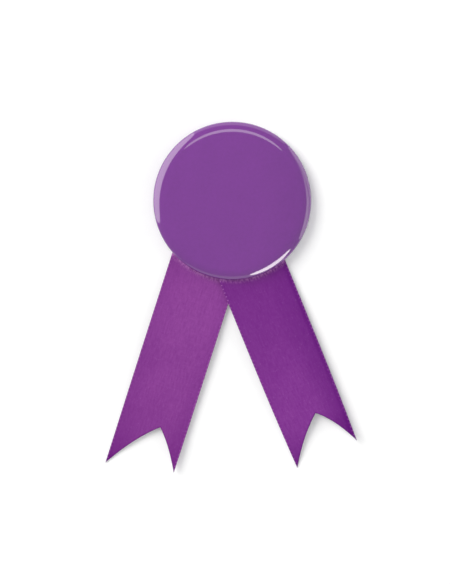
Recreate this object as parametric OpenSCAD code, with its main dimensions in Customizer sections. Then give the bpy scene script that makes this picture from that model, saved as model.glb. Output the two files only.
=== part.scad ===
// A round tin button badge with two swallowtail satin ribbons, lying on its back as it was put down.
// Up in the picture is +Y, the button's face looks along +Z, and the surface under it is at z = 0.

/* [Button] */
// Diameter of the finished button, over its film
button_d = 58; // [50:1:75]
// Height of the button from its rolled rim to the top of its face
button_h = 4.2; // [3.8:0.1:4.8]
// Radius of the round shoulder between the face and the rolled rim
shoulder_r = 5.5; // [5:0.1:7]
// How far the middle of the face stands above the shoulder
dome_rise = 0.9; // [0.6:0.1:1.2]
// Radius of the rolled rim, which turns the edge to the back
rim_r = 1; // [0.9:0.1:1.1]
// How far the rolled rim reaches inwards
rim_reach = 3.4; // [2.5:0.1:5]
// Thickness of the printed face with its film
film_t = 0.2; // [0.15:0.05:0.25]
// Thickness of the tin
tin_t = 0.35; // [0.25:0.05:0.4]

/* [Pin] */
// Thickness of the pin's wire
wire_d = 0.9; // [0.7:0.1:1.1]
// Height of the pin, from the back plate to the surface that it rests on
pin_h = 3.3; // [3.2:0.1:5]
// Length of the pin over its bend and its head
pin_l = 34; // [26:1:40]
// Length of the sheet metal head that covers the point
head_l = 6; // [4:0.5:8]
// Width of the head
head_w = 3; // [2:0.1:4]
// Distance of the pin above the middle of the button
pin_up = 9; // [7:0.5:12]

/* [Ribbons] */
// Width of the ribbon
ribbon_w = 25.4; // [20:0.1:27]
// Thickness of the ribbon's solid
ribbon_t = 1; // [1:0.1:1.1]
// Distance of the ribbons' hidden upper ends below the middle of the button
ribbon_start = 2; // [0:0.5:4]

/* [Hidden] */
$fn = 96;

// The small gap between pieces that touch
gap = 0.05;
button_r = button_d / 2;
opening_r = button_r - rim_reach;
shell_in = film_t + gap;
plate_in = shell_in + tin_t + gap;
rim_x = button_r - rim_r;
plate_r = rim_x - 0.1;
// The shoulder falls away to this slope, where the tighter rolled rim takes over
rim_angle = acos((rim_r + shoulder_r + dome_rise - button_h) / (shoulder_r - rim_r));
shoulder_x = rim_x - (shoulder_r - rim_r) * sin(rim_angle);
shoulder_z = rim_r - (shoulder_r - rim_r) * cos(rim_angle);
// The face is a shallow part of a sphere that runs smoothly into the shoulder
face_r = shoulder_r + (shoulder_x ^ 2 + dome_rise ^ 2) / (2 * dome_rise);
face_z = button_h - face_r;
face_angle = asin(shoulder_x / (face_r - shoulder_r));
// The pin stands on the surface, so it sets how high the rim is
rim_z = pin_h + gap - plate_in;
wire_r = wire_d / 2;
head_wall = 0.3;
bend_r = (pin_h - head_wall / 2) / 2 - wire_r;

// The ribbons are worked out in their own directions: "along" is the distance from the button's
// centre towards the tips, and "side" is the distance across from the ribbon's middle line.
// Columns of the ribbon table
LEAN = 0;       // angle from straight down, positive to the right
OFFSET = 1;     // how far the middle line passes to the right of the button's centre
LEFT_TIP = 2;   // along, of the left tip
RIGHT_TIP = 3;  // along, of the right tip
NOTCH = 4;      // along, of the deepest point of the swallowtail cut
NOTCH_SIDE = 5; // side, of the same point
LEFT_BOW = 6;   // how far the left half of the cut bows into the ribbon
RIGHT_BOW = 7;  // the same for the right half
SEAT = 8;       // height of the underside where the ribbon leaves the button
RISE = 9;       // along, where it starts to rise outside the rim
LIFT = 10;      // how much higher it bridges between the button and its tips
ROLL = 11;      // angle by which the tips turn, right edge up
CUP = 12;       // how far the edges bend down at the tips
right_seat = rim_z - 2 * gap - ribbon_t;
left_seat = right_seat - 3 * gap - ribbon_t;
left_row = [-17.8, -2.46, 105.9, 101.8, 87.4, 2.45, 1.55, 1.1, left_seat, 32.5, 0.9, 6, 0.5];
right_row = [22.2, -2.93, 100, 98.9, 83.8, 1.85, 1.15, 1.6, right_seat, 29.5, 0.9, 8, 0.8];

// Where along the ribbon it is at its full lift, starts to turn and starts to fall
rise_to = 54;
turn_from = 36;
fall_from = 62;
// The ribbons sit deeper inside the rim, against the plate, from this radius inwards
recess_r = opening_r - 0.8;
recess_slope = 3.4;
recess_h = plate_in;

// Rows of points along the ribbon: a fine stretch under the button, a plain one, and one fitted to the cut
fine_to = 32;
plain_to = 76;
fine_rows = 16;
plain_rows = 11;
cut_rows = 6;
left_cells = 8;
right_cells = 6;

function clamp(x) = max(0, min(1, x));
function smooth(x) = let (t = clamp(x)) t * t * (3 - 2 * t);
function mid(a, b, t) = a + (b - a) * t;

// The swallowtail cut: two bowed halves that meet in the notch
function cut_along(row, side) =
    let (is_left = side < row[NOTCH_SIDE],
         half = ribbon_w / 2 + (is_left ? 1 : -1) * row[NOTCH_SIDE],
         share = abs(side - row[NOTCH_SIDE]) / half,
         tip = is_left ? row[LEFT_TIP] : row[RIGHT_TIP],
         bow = is_left ? row[LEFT_BOW] : row[RIGHT_BOW])
    mid(row[NOTCH], tip, share) - 4 * bow * share * (1 - share);

function turn_share(row, along) = clamp((along - turn_from) / (row[LEFT_TIP] - turn_from));
function roll(row, along) = row[ROLL] * turn_share(row, along) ^ 1.5;
function cup(row, along) = row[CUP] * smooth(turn_share(row, along));
// The middle of the ribbon comes down to the height at which the left tip just touches the surface
function tip_height(row) = ribbon_w / 2 * sin(row[ROLL]) + row[CUP];
function middle_height(row, along) =
    let (risen = row[SEAT] + row[LIFT] * smooth((along - row[RISE]) / (rise_to - row[RISE])),
         fall = max(0, (along - fall_from) / (row[LEFT_TIP] - fall_from)))
    risen - (row[SEAT] + row[LIFT] - tip_height(row)) * fall ^ 2;

// A point of the ribbon's underside, seen from the button's centre
function ribbon_point(row, along, side) =
    let (across = row[OFFSET] + side * cos(roll(row, along)),
         lean = row[LEAN],
         x = along * sin(lean) + across * cos(lean),
         y = across * sin(lean) - along * cos(lean),
         seated = recess_h * smooth((recess_r - norm([x, y])) / recess_slope),
         bend = cup(row, along) * (2 * side / ribbon_w) ^ 2)
    [x, y, middle_height(row, along) + side * sin(roll(row, along)) - bend + seated];

// The box of the whole badge, from its tips, sets the middle of the frame
left_tip = ribbon_point(left_row, left_row[LEFT_TIP], -ribbon_w / 2);
low_tip = ribbon_point(left_row, left_row[RIGHT_TIP], ribbon_w / 2);
right_tip = ribbon_point(right_row, right_row[RIGHT_TIP], ribbon_w / 2);
middle_x = (left_tip[0] + right_tip[0]) / 2;
middle_y = (button_r + low_tip[1]) / 2;

function ribbon_sides(row) = concat(
    [for (j = [0 : left_cells - 1]) mid(-ribbon_w / 2, row[NOTCH_SIDE], j / left_cells)],
    [for (j = [0 : right_cells]) mid(row[NOTCH_SIDE], ribbon_w / 2, j / right_cells)]);

function ribbon_rows(row, side) = concat(
    [for (i = [0 : fine_rows - 1]) mid(ribbon_start, fine_to, i / fine_rows)],
    [for (i = [0 : plain_rows - 1]) mid(fine_to, plain_to, i / plain_rows)],
    [for (i = [0 : cut_rows]) mid(plain_to, cut_along(row, side), i / cut_rows)]);

module ribbon(row) {
    sides = ribbon_sides(row);
    n = len(sides);
    m = fine_rows + plain_rows + cut_rows + 1;
    under = [for (i = [0 : m - 1]) for (side = sides) ribbon_point(row, ribbon_rows(row, side)[i], side)];
    upper = [for (p = under) p + [0, 0, ribbon_t]];
    // Points around the edge, in order, for the wall between the two sides
    rim = concat(
        [for (i = [0 : m - 2]) i * n],
        [for (j = [0 : n - 2]) (m - 1) * n + j],
        [for (i = [m - 1 : -1 : 1]) i * n + n - 1],
        [for (j = [n - 1 : -1 : 1]) j]);
    cells = [for (i = [0 : m - 2]) for (j = [0 : n - 2]) i * n + j];
    top = m * n;
    polyhedron(
        points = concat(under, upper),
        faces = concat(
            [for (c = cells) each [[c, c + n + 1, c + n], [c, c + 1, c + n + 1]]],
            [for (c = cells) each [[top + c, top + c + n, top + c + n + 1], [top + c, top + c + n + 1, top + c + 1]]],
            [for (k = [0 : len(rim) - 1]) let (a = rim[k], b = rim[(k + 1) % len(rim)])
                each [[a, b, top + b], [a, top + b, top + a]]]),
        convexity = 6);
}

// Points on a round stretch of the outline, after its first one. An angle of 0 points up, and 90
// degrees outwards.
function arc(centre, radius, from, to, steps) = [
    for (i = [1 : steps]) let (angle = mid(from, to, i / steps)) centre + radius * [sin(angle), cos(angle)]];

// Half of the button's outline, from the middle of its face to its turned-in edge, drawn in evenly
function button_outline(inset) = concat(
    [[0, button_h - inset]],
    arc([0, face_z], face_r - inset, 0, face_angle, 6),
    arc([shoulder_x, shoulder_z], shoulder_r - inset, face_angle, rim_angle, 14),
    arc([rim_x, rim_r], rim_r - inset, rim_angle, 180, 16),
    [[opening_r, inset]]);

// A pressed wall of even thickness, open at the back inside the rolled rim
module pressed_wall(outer, thickness) {
    under = button_outline(outer + thickness);
    translate([0, 0, rim_z]) rotate_extrude()
        polygon(concat(button_outline(outer), [for (i = [len(under) - 1 : -1 : 0]) under[i]]));
}

module in_frame() {
    translate([-middle_x, -middle_y, 0]) children();
}

module face_film() {
    color("#83479a") in_frame() pressed_wall(0, film_t);
}

module front_shell() {
    color("silver") in_frame() pressed_wall(shell_in, tin_t);
}

module back_plate() {
    color("gainsboro") in_frame() translate([0, 0, rim_z + plate_in]) cylinder(r = plate_r, h = tin_t);
}

// One wire, bent round at one end into an arm against the plate and a needle, and closed by a head
module safety_pin() {
    bend_x = bend_r + wire_r - pin_l / 2;
    head_x = pin_l / 2 - head_l;
    // The needle starts at the surface and rises a little to enter the head above its lower wall
    rise = atan(head_wall / (head_x - bend_x));
    color("lightsteelblue") in_frame() translate([0, pin_up, 0]) {
        translate([bend_x, 0, bend_r + wire_r]) rotate([90, 0, 0]) rotate([0, 0, 90])
            rotate_extrude(angle = 180 + rise) translate([bend_r, 0]) circle(r = wire_r);
        translate([bend_x, 0, 2 * bend_r + wire_r]) rotate([0, 90, 0])
            cylinder(r = wire_r, h = head_x + head_wall - bend_x);
        translate([bend_x + bend_r * sin(rise), 0, wire_r + bend_r * (1 - cos(rise))]) rotate([0, 90 - rise, 0])
            cylinder(r = wire_r, h = head_x + head_wall - bend_x);
        translate([head_x, 0, pin_h / 2]) rotate([90, 0, 90]) linear_extrude(head_l) {
            square([head_w, pin_h - head_w], center = true);
            for (end = [-1, 1]) translate([0, end * (pin_h - head_w) / 2]) circle(d = head_w);
        }
    }
}

module ribbon_left() {
    color("#8c3e92") in_frame() ribbon(left_row);
}

module ribbon_right() {
    color("#7d308a") in_frame() ribbon(right_row);
}

face_film();
front_shell();
back_plate();
safety_pin();
ribbon_left();
ribbon_right();
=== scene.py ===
from math import acos, asin, atan, cos, hypot, pi, radians, sin
from random import Random

import bpy
from mathutils import Matrix, Vector


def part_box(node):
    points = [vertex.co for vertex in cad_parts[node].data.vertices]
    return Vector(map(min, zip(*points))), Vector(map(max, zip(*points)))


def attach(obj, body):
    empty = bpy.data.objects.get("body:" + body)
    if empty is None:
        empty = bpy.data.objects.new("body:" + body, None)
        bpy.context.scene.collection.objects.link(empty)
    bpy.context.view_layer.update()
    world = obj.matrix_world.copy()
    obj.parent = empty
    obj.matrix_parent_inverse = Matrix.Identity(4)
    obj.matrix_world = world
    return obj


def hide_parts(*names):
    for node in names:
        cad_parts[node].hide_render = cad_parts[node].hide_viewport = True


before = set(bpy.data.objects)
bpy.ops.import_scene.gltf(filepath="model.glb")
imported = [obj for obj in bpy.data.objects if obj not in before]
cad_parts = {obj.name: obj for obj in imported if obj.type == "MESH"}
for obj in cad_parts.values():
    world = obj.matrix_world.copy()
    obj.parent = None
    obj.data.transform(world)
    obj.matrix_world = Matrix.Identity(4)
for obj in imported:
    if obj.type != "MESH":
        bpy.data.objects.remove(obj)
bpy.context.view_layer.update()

# Tin shell
# The hollow body of the button, stamped from tinned sheet steel. The film and the back plate cover it,
# so that only its cut edge shows, inside the rim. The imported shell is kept, and gets the rolled tin.
MM = 0.001
ROLL_GRAIN = (90, 4200, 4200)
PATCH_GRAIN = (140, 140, 140)
SHELL_BRIGHT = (0.72, 0.71, 0.69, 1)
SHELL_DULL = (0.5, 0.5, 0.5, 1)


class Paint:
    """One socket of a material's nodes. A sum or a product of them adds the Math nodes that it needs."""

    def __init__(self, tree, socket=None):
        self.tree = tree
        self.socket = socket

    def node(self, kind, settings=None, sockets=None, output=0):
        """Adds a node: its settings first, then the values or links of its sockets. Gives one output."""
        made = self.tree.nodes.new(kind)
        for name, value in (settings or {}).items():
            setattr(made, name, value)
        for name, value in (sockets or {}).items():
            if isinstance(value, Paint):
                self.tree.links.new(value.socket, made.inputs[name])
            else:
                made.inputs[name].default_value = value
        return Paint(self.tree, made.outputs[output] if made.outputs else None)

    def maths(self, operation, *values):
        """Adds one Math node of an operation on the values."""
        return self.node("ShaderNodeMath", {"operation": operation}, dict(enumerate(values)))

    def __add__(self, other):
        return self.maths("ADD", self, other)

    def __radd__(self, other):
        return self.maths("ADD", other, self)

    def __sub__(self, other):
        return self.maths("SUBTRACT", self, other)

    def __rsub__(self, other):
        return self.maths("SUBTRACT", other, self)

    def __mul__(self, other):
        return self.maths("MULTIPLY", self, other)


def new_material(name):
    """An empty material, and the paint that its nodes start from."""
    made = bpy.data.materials.new(name)
    made.use_nodes = True
    made.node_tree.nodes.clear()
    return made, Paint(made.node_tree)


def noise(place, stretch, detail):
    """Even noise from 0 to 1, about 0.5. The stretch is how many times it repeats in a unit each way."""
    drawn = place.node("ShaderNodeMapping", sockets={"Vector": place, "Scale": stretch})
    return drawn.node("ShaderNodeTexNoise", sockets={"Vector": drawn, "Scale": 1.0, "Detail": detail})


def eased(value, low, high):
    """Goes smoothly from 0 at low to 1 at high."""
    span = {"Value": value, "From Min": low, "From Max": high}
    return value.node("ShaderNodeMapRange", {"interpolation_type": "SMOOTHSTEP"}, span)


def blended(share, first, second):
    """The first colour where the share is 0, and the second where it is 1."""
    return share.node("ShaderNodeMix", {"data_type": "RGBA"}, {0: share, 6: first, 7: second}, 2)


def bumped(height, unit):
    """A surface raised by a height that is counted in the unit, in metres."""
    return height.node("ShaderNodeBump", sockets={"Height": height, "Distance": unit, "Strength": 1.0})


def surfaced(material, paint, sockets):
    """Ends a material with one Principled surface."""
    surface = paint.node("ShaderNodeBsdfPrincipled", sockets=sockets)
    paint.node("ShaderNodeOutputMaterial", sockets={"Surface": surface})
    return material


def rolled_tin(name, bright, dull):
    """Tinned steel with a fine grain along X from the rolls, and duller worn patches."""
    material, paint = new_material(name)
    place = paint.node("ShaderNodeTexCoord", output="Object")
    grain = noise(place, ROLL_GRAIN, 3.0)
    patches = noise(place, PATCH_GRAIN, 3.0)
    wear_and_rim_light = eased(patches, 0.35, 0.7)
    return surfaced(material, paint, {
        "Base Color": blended(wear_and_rim_light * 0.35 + grain * 0.65, bright, dull),
        "Metallic": 1.0,
        "Roughness": 0.24 + wear_and_rim_light * 0.1 + grain * 0.12,
        "Normal": bumped(grain * 0.004 + patches * 0.01, MM)})


tin = rolled_tin("rolled_tin", SHELL_BRIGHT, SHELL_DULL)
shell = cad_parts["front_shell"]
shell.data.materials.clear()
shell.data.materials.append(tin)

# Back plate
# A disc of the same tin that closes the back, held under the rolled rim. It is stamped with one shallow
# ring, pressed towards the hollow, that keeps it stiff. Nothing on it is printed.
plate_low, plate_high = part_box("back_plate")
AXIS = Vector(((plate_low.x + plate_high.x) / 2, (plate_low.y + plate_high.y) / 2, 0))
PLATE_R = (plate_high.x - plate_low.x) / 2
PLATE_T = plate_high.z - plate_low.z
RING_R = 20.2 * MM
RING_HALF = 1.5 * MM
RING_SLOPE = 0.9 * MM
RING_DEPTH = 0.32 * MM
RING_STEP = 0.3 * MM
RING_STEPS = 9
EDGE_ROUND = 0.05 * MM
FLAT_EDGE = 3 * MM
TURN_STEPS = 576
MERGE_WITHIN = 0.002 * MM
PLATE_BRIGHT = (0.7, 0.7, 0.7, 1)
PLATE_DULL = (0.46, 0.46, 0.47, 1)


def smooth(share):
    """The smooth step from 0 to 1, for lengths that are worked out here."""
    held = max(0.0, min(1.0, share))
    return held * held * (3 - 2 * held)


def turned(name, outline):
    """A solid that is turned once about the button's axis, from its half outline of (radius, height)."""
    bpy.ops.object.select_all(action="DESELECT")
    bpy.ops.mesh.primitive_plane_add(size=MM, location=AXIS)
    piece = bpy.context.object
    piece.name = name
    bpy.ops.object.mode_set(mode="EDIT")
    bpy.ops.mesh.merge(type="CENTER")
    bpy.ops.transform.translate(value=(outline[0][0], 0, outline[0][1]))
    for (r, z), (next_r, next_z) in zip(outline, outline[1:]):
        step = (next_r - r, 0, next_z - z)
        bpy.ops.mesh.extrude_region_move(TRANSFORM_OT_translate={"value": step})
    bpy.ops.object.mode_set(mode="OBJECT")
    bpy.ops.object.modifier_add(type="SCREW")
    screw = piece.modifiers["Screw"]
    screw.steps = TURN_STEPS
    screw.render_steps = TURN_STEPS
    screw.use_merge_vertices = True
    screw.merge_threshold = MERGE_WITHIN
    bpy.ops.object.modifier_apply(modifier="Screw")
    bpy.ops.object.transform_apply(location=True, rotation=True, scale=True)
    bpy.ops.object.mode_set(mode="EDIT")
    bpy.ops.mesh.select_all(action="SELECT")
    bpy.ops.mesh.remove_doubles(threshold=MERGE_WITHIN)
    bpy.ops.mesh.normals_make_consistent(inside=False)
    bpy.ops.object.mode_set(mode="OBJECT")
    bpy.ops.object.shade_smooth_by_angle(angle=radians(35))
    return piece


def plate_rise(r):
    """How far the plate is pressed up at a radius."""
    return RING_DEPTH * smooth((RING_HALF + RING_SLOPE - abs(r - RING_R)) / RING_SLOPE)


plate_stops = [0, 6 * MM, 12 * MM]
plate_stops += [RING_R + step * RING_STEP for step in range(-RING_STEPS, RING_STEPS + 1)]
plate_stops += [PLATE_R - FLAT_EDGE, PLATE_R - EDGE_ROUND]
under = [(r, plate_low.z + plate_rise(r)) for r in plate_stops]
over = [(r, z + PLATE_T) for r, z in reversed(under)]
edge = [(PLATE_R, plate_low.z + EDGE_ROUND), (PLATE_R, plate_high.z - EDGE_ROUND)]
plate = turned("pressed_back_plate", under + edge + over)
plate.data.materials.append(rolled_tin("plate_tin", PLATE_BRIGHT, PLATE_DULL))
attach(plate, "root")
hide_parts("back_plate")

# Printed film
# The purple print under its clear glossy film, pulled over the shell as one skin. It runs smoothly over
# the flat dome and the round shoulder, and is rolled in at the back, in fine pleats and pale creases.
film_low, film_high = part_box("face_film")
BUTTON_R = (film_high.x - film_low.x) / 2
SHOULDER_R = 5.5 * MM
DOME_RISE = 0.9 * MM
RIM_R = 1 * MM
RIM_REACH = 3.4 * MM
FILM_T = 0.2 * MM
RIM_X = BUTTON_R - RIM_R
RIM_Z = film_low.z + RIM_R
SHOULDER_Z = film_high.z - DOME_RISE - SHOULDER_R
RIM_ANGLE = acos((RIM_Z - SHOULDER_Z) / (SHOULDER_R - RIM_R))
SHOULDER_X = RIM_X - (SHOULDER_R - RIM_R) * sin(RIM_ANGLE)
FACE_R = SHOULDER_R + (SHOULDER_X ** 2 + DOME_RISE ** 2) / (2 * DOME_RISE)
FACE_ANGLE = asin(SHOULDER_X / (FACE_R - SHOULDER_R))
DOME_STEPS = 8
SHOULDER_STEPS = 12
RIM_STEPS = 9
PLEATS = 72
PLEAT_H = 0.09 * MM
ROLLED_HEIGHTS = (0.3 * MM, 0.8 * MM)
ROLLED_RADII = (27.6, 28.7)
PRINT_DEEP = (0.137, 0.0113, 0.226, 1)
PRINT_BRIGHT = (0.170, 0.016, 0.271, 1)
CREASE_PALE = (0.36, 0.2, 0.44, 1)


def arc(centre_r, centre_z, radius, start, end, steps):
    """Points on a round stretch of an outline. An angle of 0 points up, and 90 degrees outwards."""
    angles = [start + (end - start) * step / steps for step in range(steps + 1)]
    return [(centre_r + radius * sin(a), centre_z + radius * cos(a)) for a in angles]


def film_outline(inset, fine):
    """The button's half outline from the middle of the face to the turned-in edge, drawn in evenly."""
    dome = arc(0, film_high.z - FACE_R, FACE_R - inset, 0, FACE_ANGLE, DOME_STEPS * fine)
    steps = SHOULDER_STEPS * fine
    shoulder = arc(SHOULDER_X, SHOULDER_Z, SHOULDER_R - inset, FACE_ANGLE, RIM_ANGLE, steps)
    rim = arc(RIM_X, RIM_Z, RIM_R - inset, RIM_ANGLE, pi, RIM_STEPS * fine)
    flange = [(RIM_X - (RIM_REACH - RIM_R) / 3 * step, film_low.z + inset) for step in (1, 2, 3)]
    return dome + shoulder[1:] + rim[1:] + flange


film = turned("printed_film", film_outline(0, 2) + film_outline(FILM_T, 1)[::-1])
pleat_dice = Random(5)
pleat_sizes = [pleat_dice.uniform(0.25, 1) for pleat in range(PLEATS)]
for corner in film.data.vertices:
    out = corner.co - AXIS
    inwards = (RIM_X - hypot(out.x, out.y)) / (RIM_REACH - RIM_R)
    if corner.co.z < film_low.z + RIM_R / 2 and inwards > 0:
        turn = (Vector((out.x, out.y)).angle_signed(Vector((1, 0))) / (2 * pi) + 0.5) * PLEATS
        crest = (0.5 + 0.5 * cos(2 * pi * turn)) ** 3
        corner.co.z -= PLEAT_H * pleat_sizes[round(turn) % PLEATS] * crest * smooth(inwards * 2)


def round_axis(place):
    """The angle about the button's axis, and the distance from its foot in millimetres."""
    middle = place.node("ShaderNodeVectorMath", {"operation": "SUBTRACT"}, {0: place, 1: AXIS})
    parts = middle.node("ShaderNodeSeparateXYZ", sockets={"Vector": middle})
    up = Paint(parts.tree, parts.socket.node.outputs["Y"])
    radius = middle.node("ShaderNodeVectorMath", {"operation": "LENGTH"}, {0: middle}, "Value") * (1 / MM)
    return up.maths("ARCTAN2", up, parts), radius


film_print, paint = new_material("film_print")
place = paint.node("ShaderNodeTexCoord", output="Object")
fibres = noise(place, (900, 900, 900), 3.0)
clouds = noise(place, (110, 110, 110), 2.0)
parts = place.node("ShaderNodeSeparateXYZ", sockets={"Vector": place})
# Painted shade: the print is painted darker towards its right side, away from the light.
painted_shade_to_right = eased(parts, 8 * MM, 30 * MM)
tone = (fibres - 0.5) * 0.9 + (clouds - 0.5) * 0.5 + 0.6 - painted_shade_to_right * 0.55
height = Paint(parts.tree, parts.socket.node.outputs["Z"])
turn, radius = round_axis(place)
fan = turn.node("ShaderNodeCombineXYZ", sockets={"X": turn, "Y": radius})
underneath = 1 - eased(height, film_low.z + ROLLED_HEIGHTS[0], film_low.z + ROLLED_HEIGHTS[1])
rolled_in = underneath * (1 - eased(radius, *ROLLED_RADII))
creases = eased(noise(fan, (34, 0.25, 1), 2.0), 0.52, 0.72) * rolled_in
printed = blended(tone, PRINT_DEEP, PRINT_BRIGHT)
waves = noise(place, (130, 130, 130), 1.0)
film.data.materials.append(surfaced(film_print, paint, {
    "Base Color": blended(creases * 0.4, printed, CREASE_PALE),
    "Roughness": 0.5 + (fibres - 0.5) * 0.2,
    "Specular IOR Level": 0.1,
    "Coat Weight": 1.0,
    "Coat Roughness": 0.04,
    "Coat IOR": 2.0,
    "Normal": bumped(waves * 0.012 + creases * 0.05, MM)}))
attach(film, "root")
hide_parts("face_film")

# Safety pin
# One plain piece of hard plated wire, bent back on itself, with a pressed head that covers the point.
# Its arm is soldered to the plate in two places, and the needle lies outside, free of the plate.
pin_low, pin_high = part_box("safety_pin")
WIRE_R = 0.45 * MM
HEAD_L = 6 * MM
HEAD_WALL = 0.3 * MM
PIN_Y = (pin_low.y + pin_high.y) / 2
PIN_H = pin_high.z - pin_low.z
HEAD_W = pin_high.y - pin_low.y
HEAD_X = pin_high.x - HEAD_L
BEND_R = (PIN_H - HEAD_WALL / 2) / 2 - WIRE_R
BEND_X = pin_low.x + BEND_R + WIRE_R
RISE = atan(HEAD_WALL / (HEAD_X - BEND_X))
WIRE_SIDES = 20
HEAD_SIDES = 40
BEND_STEPS = 28
HEAD_ROUND = 1.1 * MM
HEAD_ROUND_STEPS = 6
HEAD_INSET = 0.2 * MM
SOLDER_PLACES = (-7.5 * MM, 5.5 * MM)
SOLDER_SIZE = (2.3 * MM, 1.35 * MM, 0.95 * MM)
PLATING_BRIGHT = (0.8, 0.8, 0.79, 1)
PLATING_DULL = (0.62, 0.62, 0.63, 1)


def ring_facing_x(name, sides, radius, place):
    """A ring of points that faces along X, open for editing with all of it selected."""
    bpy.ops.object.select_all(action="DESELECT")
    bpy.ops.mesh.primitive_circle_add(vertices=sides, radius=radius, location=place, rotation=(0, pi / 2, 0))
    piece = bpy.context.object
    piece.name = name
    bpy.ops.object.transform_apply(location=True, rotation=True, scale=True)
    bpy.ops.object.mode_set(mode="EDIT")
    return piece


def select_where(piece, chosen):
    """Selects the points of a piece, in edit mode, for which the rule holds."""
    bpy.ops.mesh.select_all(action="DESELECT")
    bpy.ops.object.mode_set(mode="OBJECT")
    for corner in piece.data.vertices:
        corner.select = chosen(corner.co)
    bpy.ops.object.mode_set(mode="EDIT")


def extruded(step):
    """Draws what is selected out by a step."""
    bpy.ops.mesh.extrude_region_move(TRANSFORM_OT_translate={"value": step})


arm_end = HEAD_X + HEAD_WALL
wire = ring_facing_x("pin_wire", WIRE_SIDES, WIRE_R, (arm_end, PIN_Y, 2 * BEND_R + WIRE_R))
extruded((BEND_X - arm_end, 0, 0))
bend_centre = (BEND_X, PIN_Y, BEND_R + WIRE_R)
bpy.ops.mesh.spin(steps=BEND_STEPS, angle=-(pi + RISE), center=bend_centre, axis=(0, 1, 0))
extruded((arm_end - BEND_X, 0, (arm_end - BEND_X) * RISE))
for end in (0, 2 * BEND_R):
    select_where(wire, lambda co: co.x > arm_end - MM and abs(co.z - end - WIRE_R) < 2 * WIRE_R)
    bpy.ops.mesh.edge_face_add()
bpy.ops.mesh.select_all(action="SELECT")
bpy.ops.mesh.normals_make_consistent(inside=False)
bpy.ops.object.mode_set(mode="OBJECT")

# The head is drawn out from a stadium-shaped ring, and its far end is closed by ever smaller rings
head = ring_facing_x("pin_head", HEAD_SIDES, HEAD_W / 2, (HEAD_X, PIN_Y, PIN_H / 2))
for way in (-1, 1):
    select_where(head, lambda co: (co.z - PIN_H / 2) * way > 0.01 * MM)
    bpy.ops.transform.translate(value=(0, 0, way * (PIN_H - HEAD_W) / 2))
bpy.ops.mesh.select_all(action="SELECT")
extruded((HEAD_L - HEAD_ROUND, 0, 0))
closing = arc(HEAD_W / 2 - HEAD_ROUND, 0, HEAD_ROUND, pi / 2, 0, HEAD_ROUND_STEPS)
for (r, x), (next_r, next_x) in zip(closing, closing[1:]):
    extruded((next_x - x, 0, 0))
    bpy.ops.transform.resize(value=(1, next_r / r, next_r / r), center_override=(0, PIN_Y, PIN_H / 2))
bpy.ops.mesh.edge_face_add()
bpy.ops.mesh.inset(thickness=HEAD_INSET)
bpy.ops.mesh.select_all(action="SELECT")
bpy.ops.mesh.normals_make_consistent(inside=False)
bpy.ops.object.mode_set(mode="OBJECT")
bpy.ops.object.modifier_add(type="SOLIDIFY")
head.modifiers["Solidify"].thickness = HEAD_WALL
head.modifiers["Solidify"].offset = -1
bpy.ops.object.modifier_apply(modifier="Solidify")

solder = []
for x in SOLDER_PLACES:
    bpy.ops.object.select_all(action="DESELECT")
    spot = (x, PIN_Y, pin_high.z)
    bpy.ops.mesh.primitive_uv_sphere_add(
        segments=32, ring_count=16, radius=1, location=spot, scale=SOLDER_SIZE)
    bpy.ops.object.transform_apply(location=True, rotation=True, scale=True)
    bpy.ops.object.mode_set(mode="EDIT")
    bpy.ops.mesh.select_all(action="SELECT")
    bpy.ops.mesh.bisect(plane_co=spot, plane_no=(0, 0, 1), use_fill=True, clear_outer=True)
    bpy.ops.object.mode_set(mode="OBJECT")
    solder.append(bpy.context.object)

bpy.ops.object.select_all(action="DESELECT")
for piece in [head, wire] + solder:
    piece.select_set(True)
bpy.context.view_layer.objects.active = wire
bpy.ops.object.join()
wire.name = "bent_safety_pin"
bpy.ops.object.transform_apply(location=True, rotation=True, scale=True)
bpy.ops.object.shade_smooth_by_angle(angle=radians(40))
pin_plating, paint = new_material("pin_plating")
place = paint.node("ShaderNodeTexCoord", output="Object")
drawn = noise(place, (120, 5000, 5000), 2.0)
dull = eased(noise(place, (260, 260, 260), 3.0), 0.4, 0.7)
wire.data.materials.clear()
wire.data.materials.append(surfaced(pin_plating, paint, {
    "Base Color": blended(dull, PLATING_BRIGHT, PLATING_DULL),
    "Metallic": 1.0,
    "Roughness": 0.14 + dull * 0.12 + drawn * 0.06,
    "Normal": bumped(drawn * 0.003, MM)}))
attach(wire, "root")
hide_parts("safety_pin")

# Satin ribbons
# Two lengths of purple satin, woven with the shine on one side. Their hidden ends lie flat under the
# back plate, the left one's below the right one's. Each bridges a little from there to its tips, and
# ends in a bowed swallowtail cut. Lengths are in millimetres, along and across, and angles in degrees.
RIBBON_W = 25.4
WALL_T = 1.0
CLOTH_T = 0.32
RIBBON_START = 2
RISE_TO = 54
TURN_FROM = 36
FALL_FROM = 62
SLIM_FROM = 60
RECESS_R = 24.8
RECESS_SLOPE = 3.4
RECESS_H = (plate_low.z - film_low.z) / MM
SEAT_GAP = 0.1
RIBBON_GAP = 0.15
RIGHT_SEAT = film_low.z / MM - SEAT_GAP - WALL_T
LEFT_SEAT = RIGHT_SEAT - RIBBON_GAP - WALL_T
PLAIN_TO = 76
PLAIN_ROWS = 200
CUT_ROWS = 80
LEFT_COLUMNS = 30
RIGHT_COLUMNS = 22
AREA_STRIPS = 200
HEM_CELLS = 5
HEM_W = 1.0
LOOP_DEPTH = 0.04
TIP_SPARE = 0.06
CALM_TO = 34
CALM_SLOPE = 14
EDGE_BEVEL = 0.07
THREAD_PITCH = 0.24
WEFT_PITCH = 0.42
LOOP_PITCH = 1.5


def mid(first, second, share):
    """The place between two numbers at a share of the way."""
    return first + (second - first) * share


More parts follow.
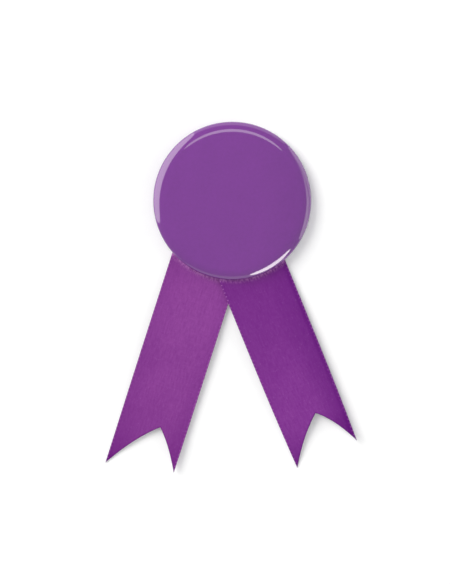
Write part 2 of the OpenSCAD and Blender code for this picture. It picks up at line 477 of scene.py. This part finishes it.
def cut_along(ribbon, side):
    """Where the swallowtail cut crosses a place on the ribbon's width: two bowed halves and a notch."""
    is_left = side < ribbon["notch_side"]
    half = RIBBON_W / 2 + (1 if is_left else -1) * ribbon["notch_side"]
    share = abs(side - ribbon["notch_side"]) / half
    tip = ribbon["left_tip"] if is_left else ribbon["right_tip"]
    bow = ribbon["left_bow"] if is_left else ribbon["right_bow"]
    return mid(ribbon["notch"], tip, share) - 4 * bow * share * (1 - share)


def ribbon_point(ribbon, along, side):
    """A point of the underside of the ribbon's wall, in millimetres from the button's axis. The ribbon
    rolls to one side, arches, and is drawn in a little towards its tips."""
    turn = max(0.0, min(1.0, (along - TURN_FROM) / (ribbon["left_tip"] - TURN_FROM)))
    roll = radians(ribbon["roll"]) * turn ** 1.5
    tip_height = RIBBON_W / 2 * sin(radians(ribbon["roll"])) + ribbon["cup"]
    risen = ribbon["seat"] + ribbon["lift"] * smooth((along - ribbon["rise"]) / (RISE_TO - ribbon["rise"]))
    fall = max(0.0, (along - FALL_FROM) / (ribbon["left_tip"] - FALL_FROM))
    middle = risen - (ribbon["seat"] + ribbon["lift"] - tip_height) * fall ** 2
    lean = radians(ribbon["lean"])
    slim = ribbon["slim"] * max(0.0, (along - SLIM_FROM) / (ribbon["left_tip"] - SLIM_FROM)) ** 2
    across = ribbon["offset"] + side * cos(roll) * (1 - slim)
    x = along * sin(lean) + across * cos(lean)
    y = across * sin(lean) - along * cos(lean)
    bend = ribbon["cup"] * smooth(turn) * (2 * side / RIBBON_W) ** 2
    seated = RECESS_H * smooth((RECESS_R - hypot(x, y)) / RECESS_SLOPE)
    return Vector((x, y, middle + side * sin(roll) - bend + seated))


def cloth_height(ribbon, along, side):
    """How high the cloth's face lies in its wall: at the top under the button, at the bottom at the tips."""
    lowered = smooth((along - ribbon["low_from"]) / (ribbon["low_to"] - ribbon["low_from"]))
    spare = mid(WALL_T - CLOTH_T, TIP_SPARE, lowered)
    ripple = 0.05 * sin(along / 3.7 + side / 9 + ribbon["phase"]) + 0.04 * sin(along / 1.9 - side / 4)
    calm = smooth((along - CALM_TO) / CALM_SLOPE)
    hem = 0.05 * smooth((abs(side) - RIBBON_W / 2 + 0.9) / 0.4)
    return CLOTH_T + spare + ripple * calm * lowered + hem * lowered


def laid_ribbon(name, ribbon, face, back):
    """A sheet of cloth laid out on the ribbon's own grid, with its place on the cloth kept as UVs in mm."""
    notch = ribbon["notch_side"]
    hem = [HEM_W * step / HEM_CELLS for step in range(HEM_CELLS)]
    half = RIBBON_W / 2
    left = [mid(-half + HEM_W, notch, step / LEFT_COLUMNS) for step in range(LEFT_COLUMNS)]
    right = [mid(notch, half - HEM_W, step / RIGHT_COLUMNS) for step in range(RIGHT_COLUMNS)]
    sides = [-half + step for step in hem] + left + right + [half - step for step in [HEM_W] + hem[::-1]]
    columns = len(sides) - 1
    rows = PLAIN_ROWS + CUT_ROWS
    bpy.ops.object.select_all(action="DESELECT")
    bpy.ops.mesh.primitive_grid_add(x_subdivisions=columns, y_subdivisions=rows, size=2)
    piece = bpy.context.object
    piece.name = name
    piece.data.materials.append(face)
    piece.data.materials.append(back)
    spots = []
    for corner in piece.data.vertices:
        side = sides[round((corner.co.x + 1) / 2 * columns)]
        row = round((1 - corner.co.y) / 2 * rows)
        along = mid(RIBBON_START, PLAIN_TO, row / PLAIN_ROWS)
        if row > PLAIN_ROWS:
            along = mid(PLAIN_TO, cut_along(ribbon, side), (row - PLAIN_ROWS) / CUT_ROWS)
        spots.append((side, along, cut_along(ribbon, side) - along))
        looped = 0.5 + 0.5 * cos(2 * pi * along / LOOP_PITCH)
        drawn_in = LOOP_DEPTH * smooth((abs(side) - half + 0.1) / 0.1) * looped
        point = ribbon_point(ribbon, along, side * (1 - drawn_in / half))
        point.z += cloth_height(ribbon, along, side)
        corner.co = AXIS + point * MM
    cloth_map = piece.data.uv_layers[0]
    cloth_map.name = "cloth"
    cut_map = piece.data.uv_layers.new(name="cut")
    for loop in piece.data.loops:
        side, along, left_over = spots[loop.vertex_index]
        cloth_map.data[loop.index].uv = (side, along)
        cut_map.data[loop.index].uv = (left_over, 0)
    bpy.ops.object.modifier_add(type="SOLIDIFY")
    thick = piece.modifiers["Solidify"]
    thick.thickness = CLOTH_T * MM
    thick.offset = -1
    thick.material_offset = 1
    bpy.ops.object.modifier_apply(modifier="Solidify")
    bpy.ops.object.modifier_add(type="BEVEL")
    rounded = piece.modifiers["Bevel"]
    rounded.width = EDGE_BEVEL * MM
    rounded.segments = 2
    rounded.limit_method = "ANGLE"
    rounded.angle_limit = radians(60)
    bpy.ops.object.modifier_apply(modifier="Bevel")
    bpy.ops.object.shade_smooth_by_angle(angle=radians(50))
    return piece


def left_painted_shade(side, along):
    """Painted shade on the left ribbon: how much darker it is painted at its edges and towards its tips."""
    edges = (1 - eased(side, -11, -3)) * 0.12 + eased(side, 6, 11.5) * 0.1
    tips = eased(along, 72, 92) * 0.15 + eased(along, 88, 102) * 0.2 + eased(along, 100, 105) * 0.3
    return edges + eased(along, 48, 66) * 0.08 + tips


def right_painted_shade(side, along):
    """The same painted shade for the right ribbon, which is also painted darker near the button.
    It is painted darkest along its right edge and at its tips."""
    lower = eased(along, 38, 82)
    right = eased(side, 0, 11) * (0.17 + lower * 0.23) + eased(side, 10.3, 11.6) * 0.2
    return (1 - lower) * 0.3 + right + eased(along, 84, 97) * 0.33 + eased(along, 95, 100) * 0.3


def no_painted_shade(side, along):
    """No painted shade anywhere, for the dull side."""
    return side * 0


# Where the painted light beside the rim starts and ends, in millimetres from the button's axis.
RIM_STREAK_END = (29.5, 31.0)
RIM_BAND_END = (29.1, 29.9)
RIM_LIGHT_START = (27.2, 28.4)


def painted_rim_light(place):
    """Painted light on the cloth's face beside the rim: pale streaks, and a pale band over the rim's shade.
    """
    turn, radius = round_axis(place)
    fan = turn.node("ShaderNodeCombineXYZ", sockets={"X": turn, "Y": radius})
    rim_light = eased(noise(fan, (52, 0.5, 1), 1.0), 0.42, 0.6)
    band = rim_light * (1 - eased(radius, *RIM_STREAK_END)) + (1 - eased(radius, *RIM_BAND_END)) * 0.6
    return band * eased(radius, *RIM_LIGHT_START)


PALE_MARKS_AND_RIM_LIGHT = (0.40, 0.14, 0.45, 1)
SHEEN_TINT = (0.85, 0.6, 0.95, 1)


def satin(name, deep, bright, rough, sheen, shade, wear_and_rim_light=0.65):
    """Satin of long floats that run along the ribbon, over a fine weft, with looped hems and a singed cut."""
    material, paint = new_material(name)
    cloth = paint.node("ShaderNodeUVMap", {"uv_map": "cloth"})
    parts = cloth.node("ShaderNodeSeparateXYZ", sockets={"Vector": cloth})
    side = parts
    along = Paint(parts.tree, parts.socket.node.outputs["Y"])
    left_over = paint.node("ShaderNodeUVMap", {"uv_map": "cut"})
    left_over = left_over.node("ShaderNodeSeparateXYZ", sockets={"Vector": left_over})
    from_hem = RIBBON_W / 2 - side.maths("ABSOLUTE", side)
    streaks = noise(cloth, (5.5, 0.16, 1), 3.0)
    strands = noise(cloth, (1.6, 0.4, 1), 3.0)
    floats = noise(cloth, (14, 0.9, 1), 2.0)
    clouds = noise(cloth, (0.16, 0.07, 1), 2.0)
    slubs = noise(cloth, (0.4, 1.8, 1), 2.0)
    threads = side.maths("ABSOLUTE", side.maths("SINE", side * (pi / THREAD_PITCH)))
    weft = along.maths("SINE", along * (2 * pi / WEFT_PITCH) + floats * 5)
    loops = eased(along.maths("SINE", along * (2 * pi / LOOP_PITCH)), 0.45, 0.95)
    on_hem = 1 - eased(from_hem, 0.3, 0.75)
    groove = eased(from_hem, 0.35, 0.6) * (1 - eased(from_hem, 0.75, 1.1))
    singed = 1 - eased(left_over, 0.15, 0.6)
    flecks = eased(noise(cloth, (1.9, 0.9, 1), 1.0), 0.62, 0.78)
    # Painted light beside the rim.
    rim_light = painted_rim_light(paint.node("ShaderNodeTexCoord", output="Object"))
    lit = (streaks - 0.5) * 0.9 + (strands - 0.5) * 1.3 + (floats - 0.5) * 0.5 + 0.5
    # The groove beside each hem is also painted darker: painted shade.
    lit = lit + (clouds - 0.5) * 0.6 + (slubs - 0.5) * 0.6 - groove * 0.3
    colour = blended(lit.maths("MINIMUM", lit.maths("MAXIMUM", lit, 0.0), 1.0), deep, bright)
    dark = (deep[0] * 0.58, 0, deep[2] * 0.68, 1)
    # Painted shade: the colour is darkened towards dark wherever the ribbon's shade function asks for it.
    shaded = shade(side, along) * 1.25
    colour = blended(shaded.maths("MINIMUM", shaded, 1.0), colour, dark)
    # Pale flecks and hem loops of the cloth, and on top of them the painted light beside the rim.
    pale_marks_and_rim_light = flecks * 0.16 + on_hem * loops * 0.6 + rim_light * wear_and_rim_light
    colour = blended(pale_marks_and_rim_light.maths("MINIMUM", pale_marks_and_rim_light, 1.0), colour, PALE_MARKS_AND_RIM_LIGHT)
    height = threads * 0.02 + floats * 0.02 + weft * 0.002 + streaks * 0.02
    height = height + on_hem * loops * 0.04 - groove * 0.03
    return surfaced(material, paint, {
        "Base Color": blended(singed * 0.8, colour, dark),
        "Roughness": rough + (streaks - 0.5) * 0.16,
        "Specular IOR Level": 0.2,
        "Sheen Weight": sheen,
        "Sheen Roughness": 0.4,
        "Sheen Tint": SHEEN_TINT,
        "Normal": bumped(height, MM)})


left_ribbon = {
    "lean": -17.8, "offset": -2.46, "left_tip": 105.9, "right_tip": 101.8, "notch": 87.4, "notch_side": 2.75,
    "left_bow": 1.55, "right_bow": 1.1, "seat": LEFT_SEAT, "rise": 32.5, "lift": 0.9, "roll": 6, "cup": 0.5,
    "low_from": 44, "low_to": 90, "phase": 0.4, "slim": 0.006}
right_ribbon = {
    "lean": 22.2, "offset": -2.93, "left_tip": 100, "right_tip": 98.9, "notch": 83.8, "notch_side": 1.85,
    "left_bow": 1.15, "right_bow": 1.6, "seat": RIGHT_SEAT, "rise": 29.5, "lift": 0.9, "roll": 8, "cup": 0.8,
    "low_from": 22, "low_to": 36, "phase": 2.1, "slim": 0.042}
# The two ribbons are one satin. The left one's colours are painted lighter and the right one's darker:
# painted sheen, for the light catching each at its own slant.
LEFT_DEEP = (0.183, 0.029, 0.230, 1)
LEFT_BRIGHT = (0.249, 0.052, 0.298, 1)
RIGHT_DEEP = (0.161, 0.0175, 0.224, 1)
RIGHT_BRIGHT = (0.217, 0.040, 0.282, 1)
BACK_DEEP = (0.092, 0.010, 0.122, 1)
BACK_BRIGHT = (0.190, 0.034, 0.230, 1)
left_satin_painted_sheen = satin("left_satin_painted_sheen", LEFT_DEEP, LEFT_BRIGHT, 0.42, 0.05, left_painted_shade)
right_satin_painted_sheen = satin("right_satin_painted_sheen", RIGHT_DEEP, RIGHT_BRIGHT, 0.42, 0.05, right_painted_shade)
dull_satin = satin("satin_back", BACK_DEEP, BACK_BRIGHT, 0.6, 0.1, no_painted_shade, wear_and_rim_light=0)
satin_ribbons = [
    ("satin_ribbon_left", left_ribbon, left_satin_painted_sheen, "ribbon_left", ["pressed_back_plate"]),
    ("satin_ribbon_right", right_ribbon, right_satin_painted_sheen, "ribbon_right", ["satin_ribbon_left"])]
for name, ribbon, face, node, carriers in satin_ribbons:
    piece = laid_ribbon(name, ribbon, face, dull_satin)
    strips = [RIBBON_W * ((step + 0.5) / AREA_STRIPS - 0.5) for step in range(AREA_STRIPS)]
    cut_area = sum(cut_along(ribbon, side) - RIBBON_START for side in strips) * RIBBON_W / AREA_STRIPS
    flat = (RIBBON_W * MM, (ribbon["left_tip"] - RIBBON_START) * MM)
    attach(piece, "root")
    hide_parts(node)
    cut_area * MM * MM

# Studio
# A pale sheet on the table, which the pin and the tips rest on. Some lamps only show as reflections in
# the film, and others only light the surfaces, so that the reflections and the shadows can each be set.
# The camera looks straight down, as in the photo.
FLOOR_DEEP = (0.885, 0.9, 0.935, 1)
FLOOR_BRIGHT = (0.905, 0.92, 0.955, 1)
LAMP_TINT = (1.0, 0.98, 0.92)
AIR_STRENGTH = 0.38
bpy.ops.object.select_all(action="DESELECT")
bpy.ops.mesh.primitive_plane_add(size=6, location=(0, 0, 0))
floor = bpy.context.object
floor.name = "pale_sheet"
pale, paint = new_material("pale_sheet")
place = paint.node("ShaderNodeTexCoord", output="Object")
grain = noise(place, (400, 400, 400), 2.0)
floor.data.materials.append(surfaced(pale, paint, {
    "Base Color": blended(grain, FLOOR_DEEP, FLOOR_BRIGHT),
    "Roughness": 0.7,
    "Specular IOR Level": 0.2}))


def studio_light(name, clockwise, up, distance, size, radiance, roll=0, matt=False, gloss=True):
    """An oval panel that faces the button, at an angle clockwise from the top of the picture and one
    above the table, both in degrees. Its size is in metres. The roll turns it about its own axis. It
    lights the surfaces only if it is matt, and shows as a reflection only if it has gloss."""
    turn = radians(clockwise)
    lift = radians(up)
    way = Vector((sin(turn) * cos(lift), cos(turn) * cos(lift), sin(lift)))
    light = bpy.data.lights.new(name, "AREA")
    light.shape = "ELLIPSE"
    light.color = LAMP_TINT
    light.size, light.size_y = size
    light.energy = radiance * pi * size[0] * size[1] * pi / 4
    lamp = bpy.data.objects.new(name, light)
    bpy.context.scene.collection.objects.link(lamp)
    turned_to = way.to_track_quat("Z", "Y").to_matrix() @ Matrix.Rotation(radians(roll), 3, "Z")
    lamp.matrix_world = Matrix.Translation(AXIS + way * distance) @ turned_to.to_4x4()
    lamp.visible_camera = False
    lamp.visible_diffuse = matt
    lamp.visible_glossy = gloss


studio_light("left_softbox", 293, 10, 0.8, (1.22, 1.47), 2.1, roll=-17)
studio_light("overhead_panel", 1, 67.2, 0.9, (0.57, 0.315), 1.62)
studio_light("right_panel", 82, 7, 0.8, (1.2, 0.86), 1.1, roll=-12)
studio_light("right_fill", 82, 7, 0.8, (1.2, 0.86), 2.0, matt=True, gloss=False)
studio_light("low_strip", 148, 22, 0.8, (0.52, 0.37), 5.5, roll=22)
studio_light("key_panel", 307, 42, 3, (1.95, 2.67), 5.95, matt=True, gloss=False)
studio_light("ceiling_panel", 0, 90, 3, (0.8, 0.8), 14.0, matt=True, gloss=False)
studio_light("near_panel", 176, 6, 0.8, (1.4, 0.5), 0.4, matt=True)
studio_light("far_strip", 5, 9, 0.8, (1.2, 0.42), 0.64)
world = bpy.data.worlds.new("studio_air")
world.use_nodes = True
air = world.node_tree.nodes["Background"]
air.inputs["Color"].default_value = (1.0, 1.0, 1.0, 1)
air.inputs["Strength"].default_value = AIR_STRENGTH
bpy.context.scene.world = world
bpy.context.scene.view_settings.view_transform = "Standard"

VIEW_MIDDLE = AXIS + Vector((-2.28, -33.53, 4.5)) * MM
VIEW_H = 214.4 * MM
LENS = 300.0
SENSOR = 36.0
camera = bpy.data.cameras.new("camera")
camera.lens = LENS
camera.sensor_fit = "AUTO"
camera.sensor_width = SENSOR
camera.clip_start = 0.01
eye = bpy.data.objects.new("camera", camera)
bpy.context.scene.collection.objects.link(eye)
eye.location = VIEW_MIDDLE + Vector((0, 0, VIEW_H * LENS / SENSOR))
bpy.context.scene.camera = eye
